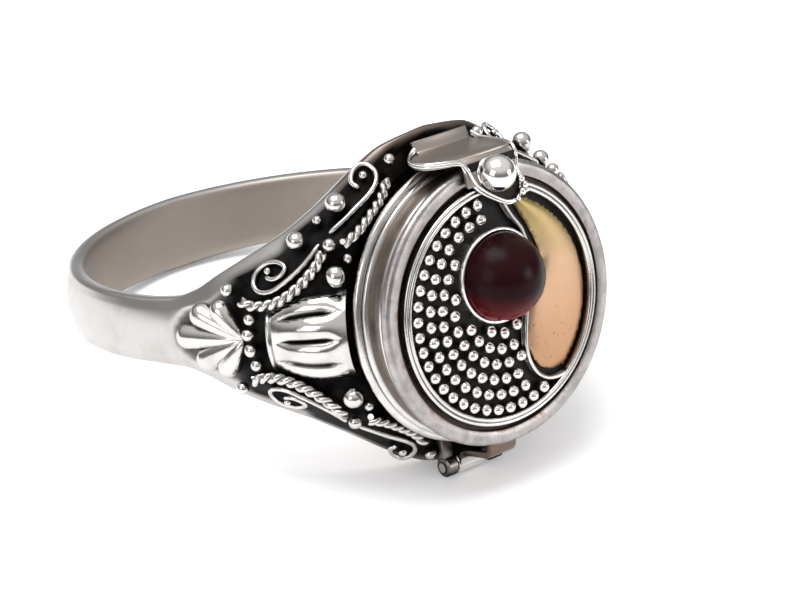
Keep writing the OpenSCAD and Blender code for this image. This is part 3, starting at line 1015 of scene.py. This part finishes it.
# %% Dividing wires
DIVIDER_R = 0.085
DIVIDER_TOP = 13.36
DIVIDERS = (((0.62, 4.35), (0.80, 3.85), (1.06, 3.35), (1.45, 2.75), (1.66, 2.08)),
            ((1.31, -0.17), (1.15, -1.00), (1.02, -1.60), (0.98, -2.15), (1.08, -2.75), (1.38, -3.30),
             (1.86, -3.65), (2.40, -3.75), (2.92, -3.65), (3.30, -3.35)))
walls = []
for path in DIVIDERS:
    for z in (FIELD_Z + 0.06, (FIELD_Z + DIVIDER_TOP) / 2, DIVIDER_TOP - DIVIDER_R):
        walls.append(wire("divider", smooth_line([(x, y, z) for x, y in path], 8), DIVIDER_R))
finish(join("dividing_wires", walls), raised, *LID, smooth=60)

# %% [markdown]
# The crescent is a sheet with a soft crown. Its outline is filled and lifted, the sheet is cut into small
# faces by bisecting it both ways, and each point of the top rises with its distance from the edge, as
# burnished sheet does.

# %% Gold crescent
GOLD_ARC_R = 4.36
GOLD_ARC_AT = (0.06, -0.1)
GOLD_FOOT = FIELD_Z + 0.03
GOLD_EDGE = 0.14
GOLD_CROWN = 0.13
CROWN_REACH = 0.45
CUT = 0.2
GOLD_INNER = ((1.28, 3.95), (1.55, 3.35), (1.95, 2.60), (2.25, 1.90), (2.40, 1.00), (1.95, 0.10),
              (1.52, -0.50), (1.32, -1.10), (1.22, -1.80), (1.28, -2.45), (1.60, -3.05), (2.15, -3.38),
              (2.80, -3.36))
inner_side = flat_line(GOLD_INNER)
outer_side = [Vector((GOLD_ARC_AT[0] + GOLD_ARC_R * math.cos(a), GOLD_ARC_AT[1] + GOLD_ARC_R * math.sin(a)))
              for a in (math.radians(-50 + 4 * i) for i in range(31))]
outline = inner_side + outer_side


def to_edge(place):
    """Distance from a place to the crescent's outline."""
    distances = []
    for a, b in zip(outline, outline[1:] + outline[:1]):
        run = b - a
        t = max(0, min(1, (place - a).dot(run) / max(run.length_squared, 1e-9)))
        distances.append((place - a - run * t).length)
    return min(distances)


crescent = sheet("gold_sheet", outline, GOLD_FOOT, GOLD_EDGE)
for step in range(-20, 24):
    for normal in ((1, 0, 0), (0, 1, 0)):
        bpy.ops.mesh.select_all(action="SELECT")
        bpy.ops.mesh.bisect(plane_co=(step * CUT, step * CUT, 0), plane_no=normal)
outward()
for v in crescent.data.vertices:
    if v.co.z > GOLD_FOOT + GOLD_EDGE / 2:
        d = to_edge(v.co.xy)
        v.co.z += GOLD_CROWN * (1 - math.exp(-d / CROWN_REACH)) - 0.05 * (1 - ease(d, 0, 0.06))
finish(crescent, gold, "lid", "gold", ["gold_crescent"], smooth=60)

# %% [markdown]
# The stone is a high round cabochon in a low plain bezel. The bezel has a round lip and flares a little
# towards its foot.

# %% Stone and bezel
STONE = (0.0, 1.18)
STONE_R = 1.76
GIRDLE_Z = FIELD_Z + 0.55
DOME = 1.70
LIP_Z = FIELD_Z + 0.38
dome_r = (STONE_R ** 2 + DOME ** 2) / (2 * DOME)
dome_z = GIRDLE_Z + DOME - dome_r
edge_turn = math.degrees(math.acos(STONE_R / dome_r))
stone = turned("domed_garnet", [(NEAR_AXIS, FIELD_Z + 0.12), (STONE_R - 0.05, FIELD_Z + 0.12),
                                (STONE_R, FIELD_Z + 0.2)]
               + arc(0, dome_z, dome_r, edge_turn, 89.9, 24), at=STONE, steps=80)
finish(stone, garnet_red, "lid", "garnet", ["garnet"], smooth=50)
BEZEL_R = STONE_R + 0.16
lip = (BEZEL_R - STONE_R) / 2
bezel_outline = ([(STONE_R + 0.02, FIELD_Z + 0.05), (STONE_R + 0.02, LIP_Z - 0.1)]
                 + arc(STONE_R + lip, LIP_Z, lip, 170, 20, 6)
                 + [(BEZEL_R + 0.03, LIP_Z - 0.12), (BEZEL_R + 0.06, FIELD_Z + 0.1),
                    (BEZEL_R + 0.07, FIELD_Z)])
finish(turned("bezel", bezel_outline, at=STONE, closed=True), bezel_silver, *LID, smooth=60)

# %% [markdown]
# The granules are the same kind of ball, smaller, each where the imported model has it.

# %% Granules
finish(ball_copies("granules", "lid_granules", 20, 12), granule_silver, "lid", "silver_trim",
       ["lid_granules"], smooth=80)

# %% [markdown]
# The tongue is a leaf that bends over the rim, widens down the side and flares out in a lip at its foot.

# %% Tongue
TONGUE_T = 0.24
PANEL_Y = 6.08
TONGUE_TOP = ((5.0, 13.50), (5.5, 13.50), (5.88, 13.42), (6.05, 13.15), (6.08, 12.85))
TONGUE_LIP = ((6.08, 11.5), (6.09, 11.15), (6.18, 10.92), (6.40, 10.80), (6.65, 10.72))
PANEL = ((-1.40, 10.95), (-1.80, 11.20), (-2.30, 11.75), (-2.45, 12.30), (-2.30, 12.80), (-1.80, 13.15),
         (-1.20, 13.28), (1.42, 13.28), (1.58, 12.70), (1.60, 12.00), (1.50, 11.40), (1.35, 10.95))
LEAF = ((-1.14, 5.95), (-0.95, 5.55), (-0.72, 5.15), (-0.34, 4.72), (0.14, 4.36), (0.60, 4.08),
        (0.95, 3.98), (1.30, 4.10), (1.48, 4.50), (1.46, 4.95), (1.38, 5.40), (1.42, 5.95))


def plate(name, outline, thick):
    """A flat sheet with this outline of (x, y) points, lying at height 0, with softened edges."""
    piece = sheet(name, outline, 0, thick)
    outward()
    apply(piece, "BEVEL", width=0.04, segments=2, limit_method="ANGLE")
    return piece


sheets = [strap("tongue_top", flat_line(TONGUE_TOP), -1.12, 1.40, TONGUE_T),
          strap("tongue_lip", flat_line(TONGUE_LIP), -1.38, 1.33, TONGUE_T, bevel=0.06)]
panel = plate("tongue_panel", flat_line(PANEL), TONGUE_T)
panel.data.transform(Matrix.Translation((0, PANEL_Y + TONGUE_T / 2, 0))
                     @ Matrix.Rotation(math.pi / 2, 4, "X"))
leaf = plate("tongue_leaf", flat_line(LEAF), TONGUE_T)
leaf.data.transform(Matrix.Translation((0, 0, RING_TOP - 0.04)))
finish(join("tongue", sheets + [panel]), tongue_silver, *LID, smooth=45)
finish(leaf, field_black, *LID, smooth=45)

# %% [markdown]
# The double wire of the tongue runs along the panel's edge, over the rim and round the lobe. The second
# wire lies outside the first on the lid, and in front of it on the side.

# %% Double wire of the tongue
ON_LID = 13.5
LOBE = Vector((0.1, 5.6, 0))
TRIM = ((-1.45, 6.42, 10.95), (-1.78, 6.25, 11.05), (-2.28, 6.20, 11.62), (-2.46, 6.20, 12.2),
        (-2.32, 6.20, 12.78), (-1.82, 6.18, 13.16), (-1.22, 6.10, 13.42), (-1.02, 5.75, 13.60),
        (-0.76, 5.20, 13.60), (-0.37, 4.75, 13.60), (0.13, 4.38, 13.60), (0.60, 4.10, 13.60),
        (0.95, 4.00, 13.60), (1.30, 4.12, 13.60), (1.47, 4.50, 13.60), (1.45, 4.95, 13.60),
        (1.38, 5.40, 13.60), (1.43, 5.85, 13.58), (1.50, 6.15, 13.30), (1.58, 6.20, 12.70),
        (1.60, 6.20, 12.00), (1.52, 6.25, 11.40), (1.42, 6.42, 11.0))
trims = []
for inset, drop_by, r in ((0, 0, 0.075), (0.10, 0.10, 0.065)):
    line = []
    for x, y, z in TRIM:
        if z > ON_LID:
            line.append(Vector((x, y, z - drop_by)) + (Vector((x, y, 0)) - LOBE).normalized() * inset)
        else:
            line.append(Vector((x, y - inset, z)))
    trims.append(wire("tongue_trim", smooth_line(line, 5), r))
finish(join("tongue_trim", trims), polished, *LID, smooth=60)

# %% [markdown]
# The ball of the tongue is a mirror-bright button with a small collar under it, and a cluster of tiny
# balls sits at the leaf's tip.

# %% Ball and tip balls
BALL_R = 0.72
BALL_AT = (-0.05, 5.45, 14.2)
ball = sphere(BALL_R, 48, 28, BALL_AT)
collar = turned("collar", arc(0.5, 13.62, 0.09, 0, 360, 10)[:-1], at=BALL_AT[:2], closed=True, steps=40)
# columns: place of a tip ball, its radius
TIP_BALLS = (((1.40, 4.28, 13.74), 0.16), ((1.57, 4.52, 13.74), 0.15), ((1.42, 4.80, 13.74), 0.15),
             ((1.16, 4.06, 13.72), 0.12), ((1.68, 4.26, 13.66), 0.10))
tips = [sphere(r, 20, 12, place) for place, r in TIP_BALLS]
finish(join("tongue_ball", [ball, collar] + tips), polished, *LID, smooth=80)

# %% [markdown]
# The lid's leaf of the hinge comes off the flange, bends down and rolls round the pin.

# %% Lid knuckle
LEAF_BEND = ((-5.2, 13.0), (-5.75, 13.0), (-6.02, 12.8), (-6.10, 12.3), (-6.15, 11.75), (-6.24, 11.35),
             (-6.45, 11.02), (-6.78, 10.88))
finish(strap("hinge_leaf", flat_line(LEAF_BEND), -1.35, -0.04, 0.28), leaf_silver, *LID)
finish(knuckle("middle_knuckle", -1.37, -0.02), granule_silver, *LID)

# %% [markdown]
# ## Floor, light and camera
# A pale floor, and a soft bright room that is darker near the horizon, which the silver mirrors.

# %% Floor
TABLE_SIZE = 0.6
TABLE_GLOW = 0.24
deselect()
bpy.ops.mesh.primitive_plane_add(size=TABLE_SIZE, location=(0, 0, 0))
table = bpy.context.object
table.name = "table"
white = Finish(materials.new("white_table"))
white.set(Base_Color=white.ramp(white.noise(0.02, 2), (0.0, (0.93, 0.93, 0.95)), (1.0, (0.96, 0.96, 0.96))),
          Roughness=0.7, Emission_Color=(1, 1, 1, 1), Emission_Strength=TABLE_GLOW)
table.data.materials.append(white.material)

# %% Room light
ROOM_STRENGTH = 0.75
# columns: height of the direction, grey value
SKY = ((0.0, 0.34), (0.10, 0.24), (0.22, 0.30), (0.38, 0.58), (0.60, 1.00), (1.0, 1.10))
scene.world = bpy.data.worlds.new("room")
room = Finish(scene.world, "Background", "Generated")
up_way = room.add("ShaderNodeSeparateXYZ", out="Z", Vector=room.place)
room.set(Color=room.ramp(up_way, *((place, (grey, grey * 0.985, grey * 0.97)) for place, grey in SKY)),
         Strength=ROOM_STRENGTH)
scene.view_settings.view_transform = "Standard"

# %% [markdown]
# Three square soft lights face the middle of the ring.

# %% Lamps
MIDDLE = Vector((0, 0, 0.006))
# columns: name, place, size, watts
LAMPS = (("soft_top", (-0.03, 0.02, 0.16), 0.12, 0.22), ("soft_left", (-0.16, -0.04, 0.07), 0.09, 0.05),
         ("soft_right", (0.10, -0.14, 0.05), 0.06, 0.06))
for name, place, size, watts in LAMPS:
    light = bpy.data.lights.new(name, "AREA")
    light.size = size
    light.energy = watts
    holder = add_object(name, light)
    holder.location = place
    holder.rotation_euler = (MIDDLE - Vector(place)).to_track_quat("-Z", "Y").to_euler()

# %% [markdown]
# The camera was solved on the ring itself, so it is given in the ring's own frame.

# %% Camera
AZIMUTH, ELEVATION, ROLL = (math.radians(v) for v in (-36.27, 16.32, -8.09))
DISTANCE = 128.44
AIM_RIGHT, AIM_UP = -4.22, 1.73
FOCAL_PIXELS = 3008.47
SENSOR = 36
PHOTO_WIDTH = 800


def cyclic(v):
    """From (out, round, along) to the ring frame's x, y, z."""
    return Vector((v[1], v[2], v[0]))


forward = -Vector((math.cos(ELEVATION) * math.cos(AZIMUTH), math.cos(ELEVATION) * math.sin(AZIMUTH),
                   math.sin(ELEVATION)))
right = forward.cross(Vector((0, 0, 1))).normalized()
up = right.cross(forward)
right, up = (right * math.cos(ROLL) + up * math.sin(ROLL), up * math.cos(ROLL) - right * math.sin(ROLL))
eye = -(right * AIM_RIGHT + up * AIM_UP + forward * DISTANCE)
turn = Matrix((cyclic(right), cyclic(up), cyclic(-forward))).transposed().to_4x4()
lay_turn = LAY.to_3x3().normalized().to_4x4()
lens = bpy.data.cameras.new("camera")
lens.sensor_width = SENSOR
lens.lens = FOCAL_PIXELS * SENSOR / PHOTO_WIDTH
lens.clip_start = 0.005
camera = add_object("camera", lens)
camera.matrix_world = Matrix.Translation(LAY @ cyclic(eye)) @ lay_turn @ turn
scene.camera = camera
print("the camera is", round(camera.location.z * 1000), "mm above the table")
